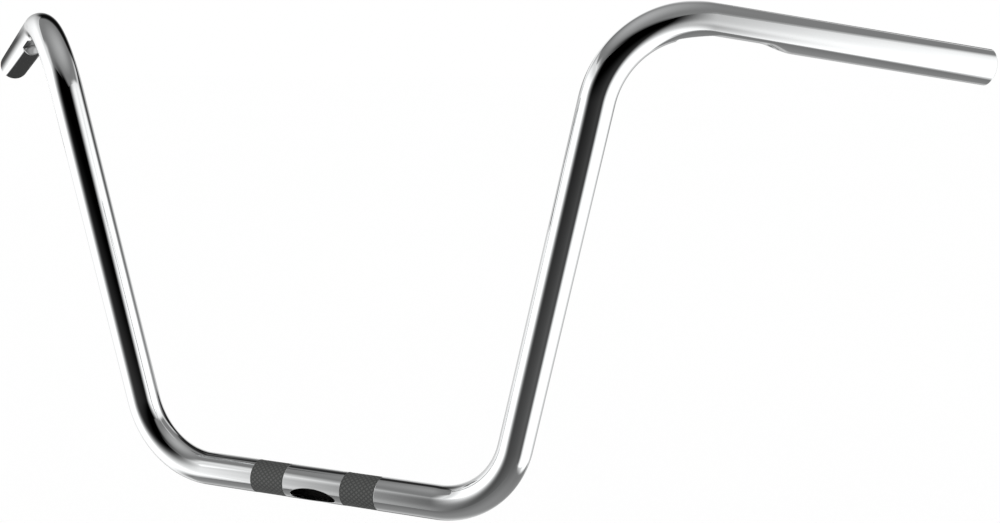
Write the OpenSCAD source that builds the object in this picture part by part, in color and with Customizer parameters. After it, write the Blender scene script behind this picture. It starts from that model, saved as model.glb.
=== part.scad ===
// Ape hanger handlebar: one bent and chromed steel tube for a motorbike.
// The origin is the middle of the clamped stretch, on the tube's centreline.
// +X runs along the bottom of the bar, +Z up and +Y back towards the rider.

/* [Tube] */
// Outside diameter of the tube
tube_d = 25.4; // [22:0.1:32]
// Thickness of the tube's wall
wall = 2.5; // [1.6:0.1:3.2]
// Bevel on the edges of the two open ends
end_bevel = 0.6; // [0.2:0.1:0.7]

/* [Bends] */
// Straight stretch along the bottom, between the lower bends
base_straight = 204.4; // [170:0.2:300]
// Centreline radius of the two lower bends
lower_bend_r = 65.4; // [45:0.2:90]
// Lean of each riser outwards from upright
riser_lean = 14.2; // [4:0.2:30]
// Straight stretch of each riser
riser_straight = 251.6; // [100:0.2:400]
// Centreline radius of the two upper bends
upper_bend_r = 65.3; // [45:0.1:90]
// How far the tube draws in through a bend, on its radius
bend_draw = 0.02; // [0.01:0.01:0.1]
// Sweep of each grip back towards the rider, seen from above
grip_sweep = 39.8; // [15:0.2:60]
// Drop of each grip below level
grip_drop = 9.2; // [0:0.2:20]
// Straight stretch of each grip
grip_straight = 210.5; // [160:0.5:260]

/* [Wiring slot] */
// Length of the slot along the bar
slot_l = 40; // [24:1:44]
// Width of the slot
slot_w = 13.5; // [8:0.5:17]
// Turn of the slot round the bar, from straight down towards the front
slot_turn = 58; // [0:1:120]

/* [Grip dimples] */
// Depth of each dimple at its middle
dimple_depth = 6; // [3:0.5:7]
// Radius of the round tool that presses the dimple across the tube
dimple_r = 22.4; // [14:0.2:40]
// Start of the dimple, measured back into the bend from the end of the bend
dimple_back = 14; // [4:0.5:20]
// Length of the ramp at the inner end of the dimple
dimple_ramp_in = 20; // [12:0.5:26]
// Length of the level floor of the dimple
dimple_floor = 39; // [20:0.5:60]
// Length of the ramp at the outer end of the dimple
dimple_ramp_out = 14.3; // [8:0.1:24]

/* [Knurled bands] */
// Length of each knurled band
knurl_l = 29.6; // [16:0.2:40]
// Spacing of the two bands, middle to middle
knurl_spacing = 80.4; // [78:0.2:100]
// Depth of the knurled bands below the plain tube
knurl_depth = 0.25; // [0.1:0.05:0.4]

/* [Hidden] */
$fn = 96;
tube_r = tube_d / 2;
bore_r = tube_r - wall;
// How far a cutting shape runs past the face that it opens
past = 1;
// Turn by which each end of a bend laps inside the straight stretch next to it
bend_lap = 0.3;
lower_turn = 90 - riser_lean;
riser_start = [
    base_straight / 2 + lower_bend_r * sin(lower_turn),
    0,
    lower_bend_r * (1 - cos(lower_turn))
];
riser_dir = [sin(riser_lean), 0, cos(riser_lean)];
riser_end = riser_start + riser_straight * riser_dir;
grip_dir = [cos(grip_drop) * cos(grip_sweep), cos(grip_drop) * sin(grip_sweep), -sin(grip_drop)];
upper_turn = acos(riser_dir * grip_dir);
// Turn of the upper bend round the riser, from straight outwards towards the rider
upper_roll = atan2(
    grip_dir.y,
    grip_dir.x * cos(riser_lean) - grip_dir.z * sin(riser_lean)
);
// Unit vector from the top of the riser to the middle of the upper bend's curve
upper_inward = (grip_dir - cos(upper_turn) * riser_dir) / sin(upper_turn);
grip_start = riser_end
    + upper_bend_r * (sin(upper_turn) * riser_dir + (1 - cos(upper_turn)) * upper_inward);

// A straight stretch of round bar that starts at the origin and runs up
module straight(radius, length) {
    cylinder(r = radius, h = length);
}

// A bend of round bar that starts upwards at the origin and curves towards +X
module bend(radius, bend_r, turn) {
    translate([bend_r, 0, 0])
        rotate([90, 0, 180])
            rotate([0, 0, -bend_lap])
                rotate_extrude(angle = turn + 2 * bend_lap)
                    translate([bend_r, 0])
                        circle(r = radius - bend_draw);
}

// Places its children at the inner end of the grip: +Z out along it, +X down
module at_grip() {
    translate(grip_start)
        rotate([0, 90 + grip_drop, grip_sweep])
            children();
}

// Everything from the end of the bottom stretch to the end of one grip
module side(radius, extra) {
    translate([base_straight / 2, 0, 0])
        rotate([180, -90, 0])
            bend(radius, lower_bend_r, lower_turn);
    translate(riser_start)
        rotate([0, riser_lean, 0])
            straight(radius, riser_straight);
    translate(riser_end)
        rotate([0, riser_lean, 0])
            rotate([0, 0, upper_roll])
                bend(radius, upper_bend_r, upper_turn);
    at_grip()
        straight(radius, grip_straight + extra);
}

module both_sides() {
    children();
    mirror([1, 0, 0])
        children();
}

// A round bar bent along the whole path, with extra length at its two ends
module bent_bar(radius, extra) {
    translate([-base_straight / 2, 0, 0])
        rotate([0, 90, 0])
            straight(radius, base_straight);
    both_sides()
        side(radius, extra);
}

// The round press tool of a dimple, grown all over by the given amount
module dimple_tool(grow) {
    ramp_in_slope = dimple_depth / dimple_ramp_in;
    ramp_out_slope = dimple_depth / dimple_ramp_out;
    floor_start = dimple_ramp_in - dimple_back;
    floor_end = floor_start + dimple_floor;
    clear = dimple_depth + past + grow;
    at_grip()
        translate([tube_r - dimple_depth + dimple_r, 0, 0])
            rotate_extrude()
                polygon([
                    [0, floor_start - clear / ramp_in_slope],
                    [dimple_r + grow - clear, floor_start - clear / ramp_in_slope],
                    [dimple_r + grow, floor_start],
                    [dimple_r + grow, floor_end],
                    [dimple_r + grow - clear, floor_end + clear / ramp_out_slope],
                    [0, floor_end + clear / ramp_out_slope]
                ]);
}

// The hollow of the tube, less the metal that the press pushes into it
module hollow() {
    difference() {
        bent_bar(bore_r, past);
        both_sides()
            dimple_tool(wall);
    }
}

module wiring_slot() {
    rotate([90 - slot_turn, 0, 0])
        rotate([90, 0, 0])
            linear_extrude(tube_d)
                scale([slot_l / slot_w, 1])
                    circle(d = slot_w);
}

// The turned seat of one knurled band
module knurl_seat() {
    rotate([0, 90, 0])
        rotate_extrude()
            translate([tube_r - knurl_depth, -knurl_l / 2])
                square([knurl_depth + past, knurl_l]);
}

// The bevel cut on the outer and inner edge of one open end
module end_bevels() {
    at_grip()
        translate([0, 0, grip_straight])
            rotate_extrude() {
                polygon([
                    [tube_r + past, -end_bevel - past],
                    [tube_r + past, past],
                    [tube_r - end_bevel - past, past]
                ]);
                polygon([
                    [bore_r - past, -end_bevel - past],
                    [bore_r + end_bevel + past, past],
                    [bore_r - past, past]
                ]);
            }
}

module handlebar() {
    color([0.82, 0.83, 0.84])
        difference() {
            bent_bar(tube_r, 0);
            hollow();
            wiring_slot();
            both_sides() {
                dimple_tool(0);
                end_bevels();
                translate([knurl_spacing / 2, 0, 0])
                    knurl_seat();
            }
        }
}

handlebar();
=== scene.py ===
# %% [markdown]
# Ape hanger handlebar
#
# The real thing is one steel tube, 25.4 mm across, bent four times, knurled where its
# clamps hold it, slotted for the wires, pressed in under each grip and chromed all over.
# Chrome has hardly any colour of its own. It is a mirror, so most of its look is the
# smoothness of the tube and the studio that it reflects, and both are made with care here.

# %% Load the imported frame
from math import acos, asin, cos, hypot, pi, radians, sin, sqrt

import bmesh
import bpy
from mathutils import Matrix, Vector


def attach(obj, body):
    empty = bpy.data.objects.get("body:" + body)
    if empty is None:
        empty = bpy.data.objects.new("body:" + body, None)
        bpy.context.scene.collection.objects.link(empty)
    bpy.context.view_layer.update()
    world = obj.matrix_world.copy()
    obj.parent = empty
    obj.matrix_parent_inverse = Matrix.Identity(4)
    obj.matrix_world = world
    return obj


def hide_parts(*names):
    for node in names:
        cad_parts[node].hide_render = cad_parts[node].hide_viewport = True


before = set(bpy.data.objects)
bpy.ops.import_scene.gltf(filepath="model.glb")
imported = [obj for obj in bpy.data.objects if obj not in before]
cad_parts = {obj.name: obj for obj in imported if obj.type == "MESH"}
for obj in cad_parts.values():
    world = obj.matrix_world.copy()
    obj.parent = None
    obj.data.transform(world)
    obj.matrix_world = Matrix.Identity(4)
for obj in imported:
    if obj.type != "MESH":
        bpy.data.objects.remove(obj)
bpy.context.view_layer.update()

MM = 0.001
scene = bpy.context.scene
scene.view_settings.view_transform = "Standard"

# %% [markdown]
# A small language for node trees
#
# A shader or a geometry tree can be wired node by node, but sums are then hard to read.
# Here one class wraps a socket and takes over +, -, * and /, so that 1 - mask * 0.5 adds
# its own Math nodes, and one method of the tree adds any other kind of node.

# %% Sockets as numbers
class Signal:
    """One output socket of a node, which can be used in a sum."""

    def __init__(self, graph, socket):
        self.graph = graph
        self.socket = socket

    def math(self, operation, *others, first=None):
        values = (self, *others) if first is None else (first, self)
        inputs = dict(enumerate(values))
        return self.graph.add("ShaderNodeMath", {"operation": operation}, inputs)

    def __add__(self, other):
        return self.math("ADD", other)

    def __sub__(self, other):
        return self.math("SUBTRACT", other)

    def __rsub__(self, other):
        return self.math("SUBTRACT", first=other)

    def __mul__(self, other):
        return self.math("MULTIPLY", other)

    def __truediv__(self, other):
        return self.math("DIVIDE", other)

    def __rtruediv__(self, other):
        return self.math("DIVIDE", first=other)

    __radd__ = __add__
    __rmul__ = __mul__


# %% Trees that take any node
class Graph:
    """A node tree of a material, the world or a geometry modifier."""

    def __init__(self, tree):
        self.tree = tree

    def add(self, kind, settings=None, inputs=None, output=0):
        """Adds a node, sets it up, and gives one of its outputs as a Signal."""
        node = self.tree.nodes.new(kind)
        for name, value in (settings or {}).items():
            setattr(node, name, value)
        for key, value in (inputs or {}).items():
            if isinstance(value, Signal):
                self.tree.links.new(value.socket, node.inputs[key])
            else:
                node.inputs[key].default_value = value
        return Signal(self, node.outputs[output]) if node.outputs else None

    def other(self, signal, output):
        """Another output of the node that a Signal comes from."""
        return Signal(self, signal.socket.node.outputs[output])

    def ease(self, value, start, end, low=0.0, high=1.0):
        """Goes softly from low to high while the value goes from start to end."""
        return self.add(
            "ShaderNodeMapRange",
            {"interpolation_type": "SMOOTHSTEP"},
            {"Value": value, "From Min": start, "From Max": end, "To Min": low, "To Max": high},
        )

    def mix(self, factor, below, above):
        """Goes from one colour to another."""
        # A Mix node has sockets for each kind of value. Inputs 6 and 7 and output 2 are colours
        sockets = {0: factor, 6: below, 7: above}
        return self.add("ShaderNodeMix", {"data_type": "RGBA"}, sockets, output=2)

    def noise(self, vector, scale, detail=2.0):
        """Cloudy noise from 0 to 1, about 0.5 in the middle."""
        return self.add("ShaderNodeTexNoise", {}, {"Vector": vector, "Scale": scale, "Detail": detail})

    def place(self):
        """The place of a point of the piece, in metres, as a material sees it."""
        return self.add("ShaderNodeTexCoord", output="Object")

    def attribute(self, name, output):
        """A value that the piece's mesh carries, as a material sees it."""
        return self.add("ShaderNodeAttribute", {"attribute_name": name}, output=output)

    def parts(self, vector):
        """A vector as its three numbers."""
        x = self.add("ShaderNodeSeparateXYZ", {}, {"Vector": vector})
        return x, self.other(x, "Y"), self.other(x, "Z")

    def vector(self, x=0.0, y=0.0, z=0.0):
        """Three numbers as a vector."""
        return self.add("ShaderNodeCombineXYZ", {}, {"X": x, "Y": y, "Z": z})


def new_material(name):
    """A material with an empty tree."""
    material = bpy.data.materials.new(name)
    material.use_nodes = True
    material.node_tree.nodes.clear()
    return material, Graph(material.node_tree)


# %% [markdown]
# Camera
#
# The photograph looks down on the bar a little, from the front and from the right. Its
# place and angles come from matching the known tube to the outline. The lens is the plain
# lens of that match, without shift or depth of field.

# %% Camera at the photograph's angle
CAMERA_PLACE = (0.599877, -0.905711, 0.340838)
CAMERA_HEADING = 26.172  # degrees to the left of straight along +Y
CAMERA_TILT = 81.0085  # degrees up from looking straight down
CAMERA_ROLL = -0.5955
CAMERA_LENS = 52.888  # mm, on a sensor of 36 mm

camera_data = bpy.data.cameras.new("camera")
camera_data.lens = CAMERA_LENS
camera_data.sensor_width = 36.0
camera_data.clip_start = 0.05
camera_data.clip_end = 60.0
camera = bpy.data.objects.new("camera", camera_data)
camera.matrix_world = (
    Matrix.Translation(CAMERA_PLACE)
    @ Matrix.Rotation(radians(CAMERA_HEADING), 4, "Z")
    @ Matrix.Rotation(radians(CAMERA_TILT), 4, "X")
    @ Matrix.Rotation(radians(CAMERA_ROLL), 4, "Z")
)
scene.collection.objects.link(camera)
scene.camera = camera
print("camera to the middle of the bar, m:", round(camera.matrix_world.translation.length, 3))

# %% [markdown]
# Background and floor
#
# The background is plain white. A white world at a strength of 1 lights everything evenly
# from all sides, and a matt floor of almost the same white melts into it, apart from the
# soft shadow that the bar leaves. The bar is held by its clamps, so it hangs clear of it.

# %% White world and pale floor
FLOOR_HEIGHT = -0.40
FLOOR_HALF = 20.0
FLOOR_WHITE = 0.9975
FLOOR_CLOUD = 0.0025  # how much its white changes from place to place
SQUARE = ((-1, -1), (1, -1), (1, 1), (-1, 1))  # the corners of a sheet, in order

world = bpy.data.worlds.new("studio")
world.use_nodes = True
world.node_tree.nodes.clear()
world_graph = Graph(world.node_tree)
sky = world_graph.add("ShaderNodeBackground", {}, {"Color": (1, 1, 1, 1), "Strength": 1.0})
world_graph.add("ShaderNodeOutputWorld", {}, {"Surface": sky})
scene.world = world


def sheet(name, corners, material):
    """One flat sheet of the studio, which isn't part of the object."""
    mesh = bpy.data.meshes.new(name)
    mesh.from_pydata(corners, [], [range(len(corners))])
    mesh.materials.append(material)
    made = bpy.data.objects.new(name, mesh)
    scene.collection.objects.link(made)
    return made


floor_material, floor_graph = new_material("pale_floor")
floor_colour = floor_graph.mix(
    floor_graph.noise(floor_graph.place(), scale=0.8),
    (FLOOR_WHITE - FLOOR_CLOUD,) * 3 + (1,),
    (FLOOR_WHITE + FLOOR_CLOUD,) * 3 + (1,),
)
floor_matt = floor_graph.add("ShaderNodeBsdfDiffuse", {}, {"Color": floor_colour})
floor_graph.add("ShaderNodeOutputMaterial", {}, {"Surface": floor_matt})
floor_corners = [(x * FLOOR_HALF, y * FLOOR_HALF, FLOOR_HEIGHT) for x, y in SQUARE]
floor = sheet("floor", floor_corners, floor_material)
floor.visible_glossy = False
print("floor, m:", 2 * FLOOR_HALF, "square, at", FLOOR_HEIGHT)

# %% [markdown]
# The light tent
#
# Chrome is photographed in a tent: white sheets left and right give it bright strips,
# the dark room at the open front gives the dark band down the middle of each riser, and
# the grey roof and floor give the soft greys of the bends. Here the tent is a room of six
# glowing sheets that only reflections see, so it lights nothing else and hides nothing.
# Each sheet's pattern is a few soft edges, with places in metres and levels of glow,
# written as sums. They were set by working out which place of the tent each stretch of
# the bar reflects, and how bright the photograph is on that stretch.

# %% Sheets that only reflections see
TENT_LEFT = -1.10
TENT_RIGHT = 1.25
TENT_FRONT = -1.25
TENT_BACK = 1.80
TENT_FLOOR = -1.13
TENT_ROOF = 1.12
WHITE = 1.25


def tent_sheet(name, corners, glow, cover=None):
    """A sheet whose glow is a function of x, y and z in metres, clear where its cover is 0."""
    material, graph = new_material("tent_" + name)
    x, y, z = graph.parts(graph.place())
    level = glow(graph, x, y, z)
    grey = graph.add("ShaderNodeCombineColor", {}, {"Red": level, "Green": level, "Blue": level})
    light = graph.add("ShaderNodeEmission", {}, {"Color": grey, "Strength": 1.0})
    if cover:
        clear = graph.add("ShaderNodeBsdfTransparent")
        light = graph.add("ShaderNodeMixShader", {}, {"Fac": cover(graph, x, y, z), 1: clear, 2: light})
    graph.add("ShaderNodeOutputMaterial", {}, {"Surface": light})
    made = sheet("tent_" + name, corners, material)
    made.visible_camera = False
    made.visible_diffuse = False
    made.visible_transmission = False
    made.visible_shadow = False


# %% Patterns of the left and right sheets
def left_glow(g, x, y, z):
    """White in front and, behind it, a grey that darkens upwards, with a dark middle low down."""
    side = g.ease(y - 0.084 * z, -0.142, 0.919)
    back = g.ease(z, 0.046, 0.979, 0.703, 0.079)
    low = g.ease(z, -0.76, -1.094)
    edge = g.ease((y + 0.353).math("ABSOLUTE"), 0.0, 1.058, 0.207, 0.937)
    white = g.ease(z, 0.717, 1.039, WHITE, 0.826)
    # The low corner at the back is dark, and of all the bar only the left dimple reflects it
    pit = g.ease(y, 0.68, 0.9) * g.ease(z, -0.25, -0.5)
    shade = g.ease(z, -0.6, -0.85, 0.06, 0.27) * g.ease(y, 1.1, 1.3, 1.0, 0.3)
    wall = ((1 - side) * white + side * back) * (1 - low) + low * edge
    return wall * (1 - pit) + pit * shade


def right_glow(g, x, y, z):
    """Dark in front and white behind, with an edge between them that is softer high up."""
    slant = y + g.ease(z, 0.218, -0.31, 0.0, -0.129)
    white = g.ease(slant, -0.862, g.ease(z, -0.262, 1.387, -0.365, 0.384))
    dark = g.ease(z, 0.637, -1.715, 0.0, 0.155)
    return (white * WHITE + (1 - white) * dark) * g.ease(z, 0.624, 1.496, 1.0, 0.677)


# %% Patterns of the front and back sheets
def front_glow(g, x, y, z):
    """White on the left and the dark room on the right, where the camera stands."""
    white = g.ease(x, -0.078, -1.26)
    dark = g.ease(z, 0.606, -1.417, 0.0, 0.147)
    level = g.ease(z, 0.103, 0.603, WHITE, 0.963) * g.ease(z, -0.45, -1.1, 1.0, 0.6)
    return white * white * level + (1 - white) * dark


def back_glow(g, x, y, z):
    """Grey that darkens upwards, with pale sides and a pale top, over a paler strip low down."""
    high = g.ease(z, -0.3, 0.9, 0.38, 0.02)
    high = high + g.ease(z, 0.9, 1.12) * g.ease(x, -0.7, -0.1, 0.0, 0.8)
    right = g.ease(x, 0.42, 1.33)
    left = g.ease(x, 0.19, -0.61, 0.0, 0.48) * g.ease(z, 0.6, 1.1, 1.0, 0.12)
    up = g.ease(z, -0.32, 0.0)
    low = g.ease(x, 0.1, 1.4, 0.51, 1.08)
    return (right * 0.8 + (1 - right) * (high + left)) * up + (1 - up) * low


# %% Patterns of the roof and the floor
def roof_glow(g, x, y, z):
    """Grey, with black at the front right and the back left and white along the two sides."""
    grey = g.ease((x * x + y * y).math("SQRT"), 0.0, 0.865, 0.468, 0.236)
    grey = grey + g.ease(y, 1.1, 1.75) * g.ease(x, -0.3, 0.1, 0.0, 0.5)
    front = g.ease(y, -0.582, -1.079) * g.ease(x, -0.942, 0.54)
    back = g.ease(y - g.ease(x, -1.2, 0.6, 0.0, 0.8), 0.36, 0.68) * g.ease(x, 0.2, -0.2, 0.0, 0.9)
    sides = g.ease(x, -0.639, -1.147) * g.ease(y, -0.354, -0.685)
    sides = sides + g.ease(x, 0.97, 1.248) * g.ease(y, -0.364, 0.515)
    return grey * (1 - front) * (1 - back) * (1 - sides) + sides * 0.96


def floor_glow(g, x, y, z):
    """Dark grey, but white along the right side and paler at the back left."""
    base = g.ease(y, -1.251, -0.075, 0.177, 0.28) * g.ease(x, 0.182, 1.125, 1.0, 0.74)
    corner = g.ease(x + 0.185 * y, 1.044, 1.253) * g.ease(y, 0.2, 0.55, 0.49, 1.0)
    left = g.ease(x, 0.266, -0.551) * g.ease(y, -0.192, 0.852)
    # The left dimple wants that corner dark, and the right dimple wants its far end pale
    pit = g.ease(x, -0.45, -0.65) * g.ease(y, 0.55, 0.75)
    shade = g.ease(y, 0.85, 1.25, 0.35, 0.08)
    shade = shade + g.ease(y, 1.15, 1.4) * g.ease(x, -0.86, -0.74, 0.0, 0.6)
    return (base * (1 - corner) + corner * WHITE + left * 0.433) * (1 - pit) + pit * shade


# %% Hang the six sheets
def box_face(axis, value):
    """The four corners of one face of the tent."""
    spans = [(TENT_LEFT, TENT_RIGHT), (TENT_FRONT, TENT_BACK), (TENT_FLOOR, TENT_ROOF)]
    free = [k for k in range(3) if k != axis]
    corners = []
    for a, b in ((0, 0), (1, 0), (1, 1), (0, 1)):
        point = [0.0, 0.0, 0.0]
        point[axis] = value
        point[free[0]] = spans[free[0]][a]
        point[free[1]] = spans[free[1]][b]
        corners.append(point)
    return corners


tent_sheet("left", box_face(0, TENT_LEFT), left_glow)
tent_sheet("right", box_face(0, TENT_RIGHT), right_glow)
tent_sheet("front", box_face(1, TENT_FRONT), front_glow)
tent_sheet("back", box_face(1, TENT_BACK), back_glow)
tent_sheet("floor", box_face(2, TENT_FLOOR), floor_glow)
tent_sheet("roof", box_face(2, TENT_ROOF), roof_glow)
print("tent, m:", TENT_RIGHT - TENT_LEFT, "by", TENT_BACK - TENT_FRONT, "by", TENT_ROOF - TENT_FLOOR)

# %% [markdown]
# Sizes of the bar
#
# These are the same driving dimensions as in the part's source, in metres. Everything
# below is worked out from them, so the dressed bar lies exactly in the place of the solid.

# %% Driving dimensions
TUBE_R = 12.7 * MM
BORE_R = 10.2 * MM
END_BEVEL = 0.6 * MM
BASE_STRAIGHT = 204.4 * MM
LOWER_BEND_R = 65.4 * MM
RISER_LEAN = radians(14.2)
RISER_STRAIGHT = 251.6 * MM
UPPER_BEND_R = 65.3 * MM
GRIP_SWEEP = radians(39.8)
GRIP_DROP = radians(9.2)
GRIP_STRAIGHT = 210.5 * MM
SLOT_L = 40 * MM
SLOT_W = 13.5 * MM
SLOT_TURN = radians(58)
KNURL_L = 29.6 * MM
KNURL_SPACING = 80.4 * MM
KNURL_DEPTH = 0.25 * MM
DIMPLE_DEPTH = 6 * MM
DIMPLE_R = 22.4 * MM
DIMPLE_BACK = 14 * MM
DIMPLE_RAMP_IN = 20 * MM
DIMPLE_FLOOR = 39 * MM
DIMPLE_RAMP_OUT = 14.3 * MM
print("tube, mm:", round(2 * TUBE_R / MM, 2), "with a bore of", round(2 * BORE_R / MM, 2))

# %% Directions along the right half
riser_dir = Vector((sin(RISER_LEAN), 0, cos(RISER_LEAN)))
grip_dir = Vector((cos(GRIP_DROP) * cos(GRIP_SWEEP), cos(GRIP_DROP) * sin(GRIP_SWEEP), -sin(GRIP_DROP)))
lower_turn = pi / 2 - RISER_LEAN
upper_turn = acos(riser_dir.dot(grip_dir))
base_end = Vector((BASE_STRAIGHT / 2, 0, 0))
riser_start = base_end + LOWER_BEND_R * Vector((sin(lower_turn), 0, 1 - cos(lower_turn)))
riser_end = riser_start + RISER_STRAIGHT * riser_dir
upper_inward = (grip_dir - cos(upper_turn) * riser_dir) / sin(upper_turn)
upper_arc = sin(upper_turn) * riser_dir + (1 - cos(upper_turn)) * upper_inward
grip_start = riser_end + UPPER_BEND_R * upper_arc
grip_end = grip_start + GRIP_STRAIGHT * grip_dir
grip_down = Vector(
    (-sin(GRIP_DROP) * cos(GRIP_SWEEP), -sin(GRIP_DROP) * sin(GRIP_SWEEP), -cos(GRIP_DROP))
)
grip_side = grip_dir.cross(grip_down)
print("end of the right grip, mm:", [round(c / MM, 1) for c in grip_end])

# %% [markdown]
# A card past the left grip
#
# The camera looks almost along the left grip, so all that the grip reflects lies close
# round its own axis. There the photograph shows a charcoal underside with a sharp edge, a
# white stripe and a dark upper edge, while the rest of the bar still sees the white sheet.
# Only something close to the grip does that, so a small card hangs just past its end. Its
# glow changes with the direction from a point near the grip's axis, and its dark upper part
# is black near that point and paler further out, as the grip's edge is in the photograph.

# %% Card that only reflections see
CARD_GAP = 60 * MM
CARD_MIDDLE = (10 * MM, -7 * MM)  # to the side and up from the grip's axis
CARD_HALF = 85 * MM
card_side = Vector((grip_side.x, -grip_side.y, 0))
card_up = Vector((grip_down.x, -grip_down.y, -grip_down.z))
card_middle = grip_end + CARD_GAP * grip_dir
card_middle = Vector((-card_middle.x, card_middle.y, card_middle.z))
card_middle += CARD_MIDDLE[0] * card_side + CARD_MIDDLE[1] * card_up


def card_glow(g, x, y, z):
    """Charcoal below, then white, then dark, as one goes round the card's middle."""
    place = [value - middle for value, middle in zip((x, y, z), card_middle)]
    side, up = (sum((p * a for p, a in zip(place, axis)), 0.0) for axis in (card_side, card_up))
    angle = up.math("ARCTAN2", side)
    dark = g.ease((side * side + up * up).math("SQRT"), 45 * MM, 80 * MM, 0.08, 0.75)
    return g.ease(angle, -1.12, -0.85, 0.038, 1.0) * g.ease(angle, -0.35, 1.05, WHITE, dark)


card_corners = [card_middle + CARD_HALF * (a * card_side + b * card_up) for a, b in SQUARE]
tent_sheet("card", card_corners, card_glow)
print("card past the left grip, mm:", [round(c / MM) for c in card_middle])

# %% [markdown]
# Three flags close behind the bar
#
# The rims of the bends look past the bar at the back of the tent. In the photograph the
# rims of the left bends are black and the rim of the upper right one is white, although
# they see the same part of the roof. A photographer sets such an edge with a flag, a small
# board close behind it. So a black strip hangs behind the upper left bend, a white board
# behind the upper right one and a black dot behind the lower left one. Each is clear at
# its edges, because its cover fades out there.

# %% Flags that only reflections see
FLAG_Y = 90 * MM
FLAG_BLACK = 0.004
FLAG_WHITE = 1.0
STRIP_MIDDLE = (-295 * MM, 396 * MM)  # x and z
STRIP_SLOPE = -0.55
DOT_Y = 50 * MM
DOT_DARK = 0.01
DOT_MIDDLE = (-145 * MM, 42 * MM)


def flag(name, y, sides, level, cover):
    """An upright sheet of one level between its sides, which are left, right, low and high."""
    left, right, low, high = (side * MM for side in sides)
    corners = [(x, y, z) for x, z in ((left, low), (right, low), (right, high), (left, high))]
    tent_sheet(name, corners, lambda g, x, y, z: level, cover)
    print("flag", name, "from", sides[0], "to", sides[1], "mm, and", round(y / MM), "mm behind")


def strip_cover(g, x, y, z):
    """A slanting band, soft at its edges and at its two ends."""
    off = z - STRIP_MIDDLE[1] - STRIP_SLOPE * (x - STRIP_MIDDLE[0])
    band = g.ease(off, 45 * MM, 8 * MM) * g.ease(off, -45 * MM, -10 * MM)
    return band * g.ease(x, -390 * MM, -350 * MM) * g.ease(x, -190 * MM, -230 * MM)


def board_cover(g, x, y, z):
    """Soft at the top, at the left end and, more sharply, at the right end."""
    return g.ease(z, 450 * MM, 360 * MM) * g.ease(x, 295 * MM, 265 * MM) * g.ease(x, -90 * MM, 0.0)


def dot_cover(g, x, y, z):
    """Round, and soft at its edge."""
    across = x - DOT_MIDDLE[0]
    up = z - DOT_MIDDLE[1]
    return g.ease((across * across + up * up).math("SQRT"), 18 * MM, 7 * MM)


flag("strip", FLAG_Y, (-400, -180, 280, 500), FLAG_BLACK, strip_cover)
flag("board", FLAG_Y, (-100, 300, 340, 460), FLAG_WHITE, board_cover)
flag("dot", DOT_Y, (-165, -125, 22, 62), DOT_DARK, dot_cover)

# %% [markdown]
# The path of the bar
#
# A tube bender works along one centreline: straight, bend, straight, bend, straight. The
# path is that line as a chain of points, close together in the bends and in the dimple
# and far apart where the tube is plain. Each point also carries the radius of the tube's
# outside and of its bore, so the knurled seats and the bevelled ends are part of it.

# %% Points along one half
PATCH_END = 24 * MM  # the stretch with the slot ends here and is made on its own
KNURL_START = (KNURL_SPACING - KNURL_L) / 2
KNURL_END = (KNURL_SPACING + KNURL_L) / 2
BEND_STEP = 1.9 * MM
DIMPLE_STEP = 1.0 * MM
PLAIN_STEP = 12 * MM
EDGE = 0.15 * MM
ROUND_UP = 0.999  # added before the fraction is cut off, so that a whole number stays whole
seat_r = TUBE_R - KNURL_DEPTH


def steps(start, end, step):
    """Even stations from start to end, no further apart than the step, both ends in."""
    count = max(1, int((end - start) / step + ROUND_UP))
    return [start + (end - start) * k / count for k in range(count + 1)]


def half_path():
    """Stations of the right half as (point, outside radius, bore radius)."""
    rows = []
    plain = (TUBE_R, BORE_R)
    for x in (PATCH_END, KNURL_START - EDGE, KNURL_START):
        rows.append((Vector((x, 0, 0)), *plain))
    for x in (KNURL_START + EDGE, KNURL_START + 2 * EDGE, KNURL_END - 2 * EDGE, KNURL_END - EDGE):
        rows.append((Vector((x, 0, 0)), seat_r, BORE_R))
    for x in (KNURL_END, KNURL_END + EDGE, *steps(KNURL_END + 2 * EDGE, BASE_STRAIGHT / 2, PLAIN_STEP)):
        rows.append((Vector((x, 0, 0)), *plain))
    for turn in steps(0, lower_turn, BEND_STEP / LOWER_BEND_R)[1:]:
        bent = LOWER_BEND_R * Vector((sin(turn), 0, 1 - cos(turn)))
        rows.append((base_end + bent, *plain))
    for run in steps(0, RISER_STRAIGHT, PLAIN_STEP)[1:]:
        rows.append((riser_start + run * riser_dir, *plain))
    for turn in steps(0, upper_turn, BEND_STEP / UPPER_BEND_R)[1:]:
        bent = UPPER_BEND_R * (sin(turn) * riser_dir + (1 - cos(turn)) * upper_inward)
        rows.append((riser_end + bent, *plain))
    dimple_end = DIMPLE_RAMP_IN + DIMPLE_FLOOR + DIMPLE_RAMP_OUT - DIMPLE_BACK
    for run in steps(0, dimple_end + 4 * DIMPLE_STEP, DIMPLE_STEP)[1:]:
        rows.append((grip_start + run * grip_dir, *plain))
    last = GRIP_STRAIGHT - END_BEVEL
    for run in steps(dimple_end + 4 * DIMPLE_STEP, last - 2 * EDGE, PLAIN_STEP)[1:] + [last]:
        rows.append((grip_start + run * grip_dir, *plain))
    rows.append((grip_end, TUBE_R - END_BEVEL, BORE_R + END_BEVEL))
    return rows


half = half_path()
print("stations on one half:", len(half))

# %% Path as a chain of edges
path_mesh = bpy.data.meshes.new("path")
path_mesh.from_pydata([row[0] for row in half], [(k, k + 1) for k in range(len(half) - 1)], [])
for name, column in (("outside", 1), ("bore", 2)):
    layer = path_mesh.attributes.new(name, "FLOAT", "POINT")
    layer.data.foreach_set("value", [row[column] for row in half])
path_object = bpy.data.objects.new("path", path_mesh)
scene.collection.objects.link(path_object)
path_length = sum((b[0] - a[0]).length for a, b in zip(half, half[1:]))
print("length of the whole centreline, mm:", round(2 * (PATCH_END + path_length) / MM))

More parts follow.
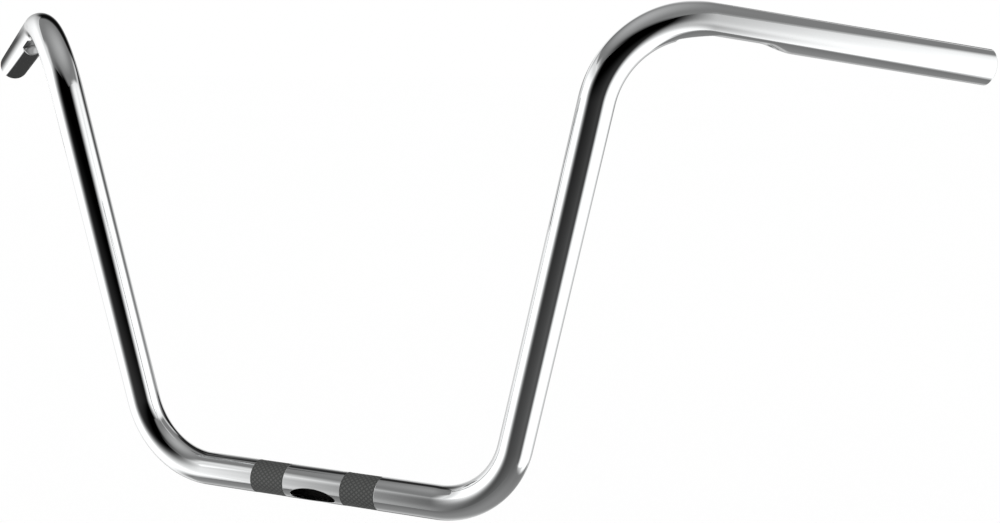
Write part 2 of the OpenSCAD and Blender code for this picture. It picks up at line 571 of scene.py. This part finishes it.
# %% [markdown]
# Finishes
#
# Polished chrome is a mirror with a cool, almost neutral tint. Only its roughness and tint
# change a little: clouds from the plating, and faint lines left along the tube by the
# polishing belt. The knurled bands are cut sharp and plated thinly, so they look like
# dull dark steel. They could be a rough metal, but that has a bright top and a black
# underside, so the finish is only partly a metal's. Shade is painted into the grooves, so the
# crests are paler than the grooves. The bore is never polished, and keeps the black scale
# of the tube mill.

# %% Polished chrome
LINE_STRETCH = 4.0  # units of noise to a metre along the tube, where across it there are 79


def tube_lines(graph):
    """Place on the tube's own surface: a long way along counts as little."""
    x, y, _ = graph.parts(graph.attribute("side", "Vector"))
    return graph.vector(x, y, graph.attribute("run", "Fac") * LINE_STRETCH)


def chrome_finish():
    """A mirror that is a little uneven."""
    material, graph = new_material("polished_chrome")
    cloud = graph.noise(graph.place(), scale=18.0, detail=3.0)
    line = graph.noise(tube_lines(graph), scale=26.0, detail=3.0)
    tint = graph.mix(cloud, (0.80, 0.81, 0.815, 1), (0.85, 0.86, 0.862, 1))
    bump = graph.add("ShaderNodeBump", {}, {"Strength": 0.02, "Distance": 0.00005, "Height": line})
    shader = graph.add(
        "ShaderNodeBsdfPrincipled",
        {},
        {
            "Base Color": tint,
            "Metallic": 1.0,
            "Roughness": 0.03 + 0.03 * cloud + 0.02 * line,
            "Normal": bump,
        },
    )
    graph.add("ShaderNodeOutputMaterial", {}, {"Surface": shader})
    return material


# %% Cut steel of the bands
def cut_finish():
    """Dull dark steel, with specks, and with shade painted into the grooves between the crests."""
    material, graph = new_material("cut_knurl")
    speck = graph.noise(graph.place(), scale=2500.0, detail=3.0)
    # Painted shade: faces in the grooves get a darker tint than the crests, on top of the specks
    specks_and_painted_shade = 0.3 * speck + 0.7 * graph.attribute("crest", "Fac")
    tint = graph.mix(specks_and_painted_shade, (0.078, 0.08, 0.078, 1), (0.16, 0.164, 0.16, 1))
    shader = graph.add(
        "ShaderNodeBsdfPrincipled",
        {},
        {"Base Color": tint, "Metallic": 0.6, "Roughness": 0.5 + 0.06 * speck},
    )
    graph.add("ShaderNodeOutputMaterial", {}, {"Surface": shader})
    return material


# %% Mill scale of the bore
def bore_finish():
    """Black scale in patches, with some rust in it."""
    material, graph = new_material("bore_mill_scale")
    patch = graph.noise(graph.place(), scale=160.0, detail=4.0)
    tint = graph.mix(patch, (0.012, 0.012, 0.012, 1), (0.04, 0.037, 0.034, 1))
    shader = graph.add(
        "ShaderNodeBsdfPrincipled",
        {},
        {"Base Color": tint, "Roughness": 0.6 + 0.25 * patch},
    )
    graph.add("ShaderNodeOutputMaterial", {}, {"Surface": shader})
    return material


chrome = chrome_finish()
cut_steel = cut_finish()
mill_scale = bore_finish()
print("finishes:", [m.name for m in (chrome, cut_steel, mill_scale)])

# %% [markdown]
# The tube along its path
#
# A tube that follows a line is what Geometry Nodes do best: a circle is carried along the
# path, once at the outside radius and once, turned inside out, at the radius of the bore.
# The other half is the same thing mirrored, as it comes off the bender.

# %% A tree with named inputs
def new_tree(name, sockets):
    """A geometry tree and its inputs as Signals, by name."""
    tree = bpy.data.node_groups.new(name, "GeometryNodeTree")
    tree.interface.new_socket(name="Geometry", in_out="INPUT", socket_type="NodeSocketGeometry")
    for label, kind in sockets.items():
        tree.interface.new_socket(name=label, in_out="INPUT", socket_type="NodeSocket" + kind)
    tree.interface.new_socket(name="Geometry", in_out="OUTPUT", socket_type="NodeSocketGeometry")
    graph = Graph(tree)
    given = graph.add("NodeGroupInput")
    return tree, graph, {label: graph.other(given, label) for label in ("Geometry", *sockets)}


def grow_from_tree(start, tree, values, name):
    """Runs a tree on an object and gives the result as a plain mesh."""
    modifier = start.modifiers.new("tree", "NODES")
    modifier.node_group = tree
    for item in tree.interface.items_tree:
        if item.in_out == "INPUT" and item.name in values:
            modifier[item.identifier] = values[item.name]
    ready = start.evaluated_get(bpy.context.evaluated_depsgraph_get())
    mesh = bpy.data.meshes.new_from_object(ready)
    mesh.name = name
    bpy.data.objects.remove(start)
    finishes = [m for m in mesh.materials if m]
    slots = [finishes.index(m) if m else 0 for m in mesh.materials]
    indices = [slots[face.material_index] for face in mesh.polygons]
    mesh.materials.clear()
    for finish in finishes:
        mesh.materials.append(finish)
    mesh.polygons.foreach_set("material_index", indices)
    return mesh


def read(graph, name, kind="FLOAT"):
    """A value that each point or face carries."""
    return graph.add("GeometryNodeInputNamedAttribute", {"data_type": kind}, {"Name": name})


def store(graph, geometry, name, value, kind="FLOAT", domain="POINT"):
    """Gives each point or face a value to carry."""
    settings = {"data_type": kind, "domain": domain}
    inputs = {"Geometry": geometry, "Name": name, "Value": value}
    return graph.add("GeometryNodeStoreNamedAttribute", settings, inputs)


# %% Tree of the two skins
SIDES = 96
skin_tree, skin, given = new_tree(
    "tube_skins", {"Sides": "Int", "Outside finish": "Material", "Bore finish": "Material"}
)


def carried(radius_name, inside):
    """The circle carried along the path at one of the two radii."""
    line = skin.add("GeometryNodeMeshToCurve", {}, {"Mesh": given["Geometry"]})
    run = skin.add("GeometryNodeSplineParameter", output="Length")
    line = store(skin, line, "run", run)
    ring = skin.add("GeometryNodeCurvePrimitiveCircle", {}, {"Resolution": given["Sides"], "Radius": 1.0})
    ring = store(skin, ring, "side", skin.add("GeometryNodeInputPosition"), "FLOAT_VECTOR")
    sizes = {"Curve": line, "Profile Curve": ring, "Scale": read(skin, radius_name)}
    tube = skin.add("GeometryNodeCurveToMesh", {}, sizes)
    if inside:
        tube = skin.add("GeometryNodeFlipFaces", {}, {"Mesh": tube})
    return store(skin, tube, "inside", inside, "BOOLEAN", "FACE")


# %% Both halves and their finishes
both_skins = skin.add("GeometryNodeJoinGeometry")
for tube in (carried("outside", False), carried("bore", True)):
    skin.tree.links.new(tube.socket, both_skins.socket.node.inputs[0])
mirrored = skin.add("GeometryNodeTransform", {}, {"Geometry": both_skins, "Scale": (-1, 1, 1)})
mirrored = skin.add("GeometryNodeFlipFaces", {}, {"Mesh": mirrored})
whole = skin.add("GeometryNodeJoinGeometry")
for part in (both_skins, mirrored):
    skin.tree.links.new(part.socket, whole.socket.node.inputs[0])
whole = skin.add("GeometryNodeRealizeInstances", {}, {"Geometry": whole})
whole = skin.add("GeometryNodeSetMaterial", {}, {"Geometry": whole, "Material": given["Outside finish"]})
whole = skin.add(
    "GeometryNodeSetMaterial",
    {},
    {
        "Geometry": whole,
        "Selection": read(skin, "inside", "BOOLEAN"),
        "Material": given["Bore finish"],
    },
)
skin.add("NodeGroupOutput", {}, {"Geometry": whole})
bar_mesh = grow_from_tree(
    path_object,
    skin_tree,
    {"Sides": SIDES, "Outside finish": chrome, "Bore finish": mill_scale},
    "bar",
)
print("skins:", len(bar_mesh.vertices), "points,", [m.name for m in bar_mesh.materials])
print("attributes:", [a.name for a in bar_mesh.attributes])

# %% [markdown]
# The stretch with the wiring slot
#
# A hole in a mirror shows every uneven face round it, and a boolean cut leaves many. So
# this stretch is laid out as rings that start as the outline of the slot and end
# as the two edges of the stretch, unrolled. They go down through the slot's rounded edge
# and its wall, and the same rings in reverse order line the bore.

# %% Border of the stretch and outline of the slot
SLOT_EDGE = 0.5 * MM
RING_STEP = 2 * pi / SIDES
PATCH_COLUMNS = 24
PATCH_RINGS = 16
PATCH_CROWDING = 1.6  # draws the rings together towards the slot
EDGE_RINGS = 4
slot_out = Vector((0, -sin(SLOT_TURN), -cos(SLOT_TURN)))
slot_across = Vector((1, 0, 0)).cross(slot_out)
# The nearest tube vertex to the middle of the slot, as a turn from it
seam_turn = SLOT_TURN - round(SLOT_TURN / RING_STEP) * RING_STEP


def patch_border():
    """Points round the unrolled stretch as (along, turn from the slot's middle)."""
    low = seam_turn - pi
    columns = [PATCH_END - 2 * PATCH_END * k / PATCH_COLUMNS for k in range(PATCH_COLUMNS)]
    border = [(PATCH_END, low + k * RING_STEP) for k in range(SIDES)]
    border += [(x, low + 2 * pi) for x in columns]
    border += [(-PATCH_END, low + 2 * pi - k * RING_STEP) for k in range(SIDES)]
    border += [(-x, low) for x in columns]
    return border


def slot_outline(along, turn, grow):
    """The slot's edge in the direction of a border point, as (along, across)."""
    across = turn * TUBE_R
    reach = 1 / hypot(along / (SLOT_L / 2 + grow), across / (SLOT_W / 2 + grow))
    return reach * along, reach * across


def on_tube(radius, along, turn):
    """A point on a skin of the straight stretch, by its turn from the slot's middle."""
    return Vector((along, 0, 0)) + radius * (cos(turn) * slot_out + sin(turn) * slot_across)


# %% Rings on the skins and over the slot's edge
def slot_rings(radius):
    """Rings on one skin, from the border of the stretch in to the slot."""
    rings = []
    for k in range(PATCH_RINGS, -1, -1):
        share = (k / PATCH_RINGS) ** PATCH_CROWDING
        ring = []
        for along, turn in patch_border():
            x, across = slot_outline(along, turn, SLOT_EDGE)
            near = asin(across / radius)
            ring.append(on_tube(radius, x + share * (along - x), near + share * (turn - near)))
        rings.append(ring)
    return rings


def edge_rings(radius, inwards):
    """Rings of the slot's rounded edge, from the skin to the wall."""
    rings = []
    for k in range(1, EDGE_RINGS + 1):
        share = k / EDGE_RINGS
        ring = []
        for along, turn in patch_border():
            x, across = slot_outline(along, turn, SLOT_EDGE)
            start = on_tube(radius, x, asin(across / radius))
            x, across = slot_outline(along, turn, 0)
            corner = on_tube(radius, x, asin(across / radius))
            wall = corner - slot_out * SLOT_EDGE * inwards
            ring.append((1 - share) ** 2 * start + 2 * share * (1 - share) * corner + share**2 * wall)
        rings.append(ring)
    return rings


patch_rings = slot_rings(TUBE_R) + edge_rings(TUBE_R, 1)
patch_rings += edge_rings(BORE_R, -1)[::-1] + slot_rings(BORE_R)[::-1]
print("rings round the slot:", len(patch_rings), "of", len(patch_rings[0]), "points")

# %% [markdown]
# Joining the bar
#
# The stretch with the slot is welded in between the two halves, and the two open ends are
# closed between the bevels. Normals are worked out again after the weld, because one half
# is a mirror image.

# %% Faces of the slot stretch
WELD = 0.004 * MM
bm = bmesh.new()
bm.from_mesh(bar_mesh)
run_layer = bm.verts.layers.float["run"]
side_layer = bm.verts.layers.float_vector["side"]
CHROME, BORE, CUT = 0, 1, 2
bar_mesh.materials.append(cut_steel)

ring_verts = []
for ring in patch_rings:
    made = [bm.verts.new(point) for point in ring]
    for vert in made:
        vert[run_layer] = abs(vert.co.x) - PATCH_END
        vert[side_layer] = Vector((-vert.co.y, -vert.co.z, 0)).normalized()
    ring_verts.append(made)
bore_from = len(patch_rings) - PATCH_RINGS - 2  # the last ring of the bore's rounded edge
for row, (outer, inner) in enumerate(zip(ring_verts, ring_verts[1:])):
    for k in range(len(outer)):
        n = (k + 1) % len(outer)
        face = bm.faces.new((outer[k], outer[n], inner[n], inner[k]))
        face.material_index = BORE if row >= bore_from else CHROME
print("faces with the slot stretch:", len(bm.faces))

# %% Weld and end faces
bmesh.ops.remove_doubles(bm, verts=bm.verts, dist=WELD)
open_edges = [edge for edge in bm.edges if edge.is_boundary]
print("open edges at the ends:", len(open_edges), "of", 4 * SIDES)
for side in (-1, 1):
    loops = [edge for edge in open_edges if edge.verts[0].co.x * side > 0]
    closed = bmesh.ops.bridge_loops(bm, edges=loops)
    for face in closed["faces"]:
        face.material_index = CHROME
print("open edges left:", sum(edge.is_boundary for edge in bm.edges))

# %% [markdown]
# The dimple under each grip
#
# A press squeezes the tube flat from below where the switch wires leave it. The round tool
# runs along the grip, with a ramp at each end, and metal can't fold sharply, so the
# tube's surface goes over into the tool's surface through a soft rim.

# %% Press the dimples
RIM_SOFTNESS = 1.6 * MM
RAMP_SOFTNESS = 5 * MM
WALL = TUBE_R - BORE_R
REACH = 1.5  # how far round the dimple points are tried, as a share of its sizes
tool_axis = TUBE_R - DIMPLE_DEPTH + DIMPLE_R
ramp_in_slope = DIMPLE_DEPTH / DIMPLE_RAMP_IN
ramp_out_slope = DIMPLE_DEPTH / DIMPLE_RAMP_OUT
floor_start = DIMPLE_RAMP_IN - DIMPLE_BACK
floor_end = floor_start + DIMPLE_FLOOR


def soft_min(a, b, softness):
    """The lower of two values, rounded off where they are closer than the softness."""
    near = max(softness - abs(a - b), 0) / softness
    return min(a, b) - near**3 * softness / 6


def soft_max(a, b, softness):
    """The higher of two values, rounded off in the same way."""
    return -soft_min(-a, -b, softness)


def pressed(run, across, down, grow):
    """How far down the surface lies once the tool has been there."""
    radius = DIMPLE_R + grow
    radius -= ramp_in_slope * soft_max(floor_start - run, 0, RAMP_SOFTNESS)
    radius -= ramp_out_slope * soft_max(run - floor_end, 0, RAMP_SOFTNESS)
    if down <= 0 or radius <= abs(across):
        return down
    return soft_min(down, tool_axis - sqrt(radius**2 - across**2), RIM_SOFTNESS)


moved = 0
for vert in bm.verts:
    place = Vector((abs(vert.co.x), vert.co.y, vert.co.z)) - grip_start
    run, across, down = (place.dot(axis) for axis in (grip_dir, grip_side, grip_down))
    along_it = -REACH * DIMPLE_BACK < run < floor_end + REACH * DIMPLE_RAMP_OUT
    if not along_it or hypot(across, down) > REACH * TUBE_R:
        continue
    inside = any(face.material_index == BORE for face in vert.link_faces)
    lift = pressed(run, across, down, WALL if inside else 0) - down
    if lift < 0:
        vert.co += lift * Vector((grip_down.x * (1 if vert.co.x > 0 else -1), grip_down.y, grip_down.z))
        moved += 1
print("points pressed in:", moved)

# %% Knurled seats, normals and the finished mesh
for face in bm.faces:
    middle = face.calc_center_median()
    if KNURL_START < abs(middle.x) < KNURL_END and face.material_index == CHROME and middle.z < TUBE_R:
        face.material_index = CUT
    face.smooth = True
bmesh.ops.recalc_face_normals(bm, faces=bm.faces)
bm.to_mesh(bar_mesh)
volume = bm.calc_volume()
bm.free()
bar = bpy.data.objects.new("bar", bar_mesh)
scene.collection.objects.link(bar)
print("bar:", len(bar_mesh.polygons), "faces, steel volume, cm3:", round(volume * 1e6, 2))

# %% [markdown]
# True normals round the slot
#
# The rings round the slot run across the tube, and the normals that Blender averages from
# their faces are off by a hair, which a mirror shows as a ripple. On the plain skin the
# normal is known exactly: it points straight away from the tube's axis.

# %% Exact normals on the plain stretch
normals = []
for vertex in bar_mesh.vertices:
    away = Vector((0, vertex.co.y, vertex.co.z))
    on_skin = abs(vertex.co.x) <= PATCH_END and abs(away.length - TUBE_R) < WELD
    normals.append(away.normalized() if on_skin else Vector((0, 0, 0)))
bar_mesh.normals_split_custom_set_from_vertices(normals)
print("exact normals:", sum(n.length > 0 for n in normals))

# %% [markdown]
# Knurling
#
# A knurling wheel rolls crossed diagonal grooves into the bar, which leaves rows of small
# blunt pyramids for the clamps to bite on. That is one shape repeated over a lattice
# wrapped round a cylinder, so a tree lays out the lattice and puts a pyramid on each
# point, turned to face outwards.

# %% Lattice round the bar
KNURL_COLUMNS = 7
KNURL_ROWS = 44
KNURL_TOP = 0.6  # width of a pyramid's blunt top, as a share of its foot
KNURL_HEIGHT = KNURL_DEPTH / 2
KNURL_SINK = 0.06 * MM  # how far its foot lies below the seat
CREST_FACING = 0.9  # a face that points outwards more than this is a crest
knurl_tree, knurl, given = new_tree(
    "knurling",
    {
        "Middle": "Float",
        "Length": "Float",
        "Seat radius": "Float",
        "Height": "Float",
        "Sink": "Float",
        "Columns": "Int",
        "Rows": "Int",
        "Finish": "Material",
    },
)
pitch = given["Length"] / given["Columns"]
row_turn = 2 * pi / given["Rows"]
lattice = knurl.add(
    "GeometryNodeMeshGrid",
    {},
    {
        "Size X": given["Length"],
        "Size Y": 2 * pi - row_turn,
        "Vertices X": given["Columns"] + 1,
        "Vertices Y": given["Rows"],
    },
)
along, turn, _ = knurl.parts(knurl.add("GeometryNodeInputPosition"))
lattice = store(knurl, lattice, "turn", turn)
row = ((turn + pi) / row_turn).math("FLOOR")
shift = row.math("MODULO", 2.0) * 0.5 * pitch
centre = knurl.vector(along + shift)
lattice = knurl.add("GeometryNodeSetPosition", {}, {"Geometry": lattice, "Position": centre})
along, _, _ = knurl.parts(knurl.add("GeometryNodeInputPosition"))
beyond = along.math("GREATER_THAN", given["Length"] * 0.5 + 0.1 * pitch)
lattice = knurl.add("GeometryNodeDeleteGeometry", {}, {"Geometry": lattice, "Selection": beyond})

# %% One pyramid, lying on the seat above the axis
pyramid = knurl.add(
    "GeometryNodeMeshCone",
    {},
    {"Vertices": 4, "Radius Top": KNURL_TOP, "Radius Bottom": 1.0, "Depth": 1.0},
)
# Crest faces are marked so that the finish can paint shade into the grooves between them
_, _, outwards = knurl.parts(knurl.add("GeometryNodeInputNormal"))
crest = outwards.math("GREATER_THAN", CREST_FACING)
pyramid = store(knurl, pyramid, "crest", crest, "FLOAT", "FACE")
pyramid = knurl.add(
    "GeometryNodeTransform",
    {},
    {
        "Geometry": pyramid,
        "Translation": knurl.vector(z=given["Seat radius"] - given["Sink"]),
        "Scale": knurl.vector(
            pitch * 0.5, row_turn * given["Seat radius"], given["Height"] + given["Sink"]
        ),
    },
)

# %% A pyramid on each point, turned to face outwards
facing = knurl.vector(read(knurl, "turn"))
band = knurl.add(
    "GeometryNodeInstanceOnPoints",
    {},
    {"Points": lattice, "Instance": pyramid, "Rotation": facing},
)
band = knurl.add(
    "GeometryNodeTransform",
    {},
    {"Geometry": band, "Translation": knurl.vector(given["Middle"])},
)
band = knurl.add("GeometryNodeRealizeInstances", {}, {"Geometry": band})
band = knurl.add("GeometryNodeSetMaterial", {}, {"Geometry": band, "Material": given["Finish"]})
knurl.add("NodeGroupOutput", {}, {"Geometry": band})
print("nodes in the knurling tree:", len(knurl_tree.nodes))

# %% Two knurled bands
knurl_bands = []
for name, side in (("knurl_left", -1), ("knurl_right", 1)):
    seed = bpy.data.objects.new("seed", bpy.data.meshes.new("seed"))
    scene.collection.objects.link(seed)
    sizes = {
        "Middle": side * KNURL_SPACING / 2,
        "Length": KNURL_L,
        "Seat radius": seat_r,
        "Height": KNURL_HEIGHT,
        "Sink": KNURL_SINK,
        "Columns": KNURL_COLUMNS,
        "Rows": KNURL_ROWS,
        "Finish": cut_steel,
    }
    mesh = grow_from_tree(seed, knurl_tree, sizes, name)
    knurl_band = bpy.data.objects.new(name, mesh)
    scene.collection.objects.link(knurl_band)
    knurl_bands.append(knurl_band)
    print(name, len(mesh.polygons), "faces")

# %% [markdown]
# Bodies
#
# All three pieces belong to the one body of the part. The bar stands in for the plain
# solid.

# %% Bodies, and the plain solid hidden
for piece in (bar, *knurl_bands):
    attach(piece, "root")
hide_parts("handlebar")
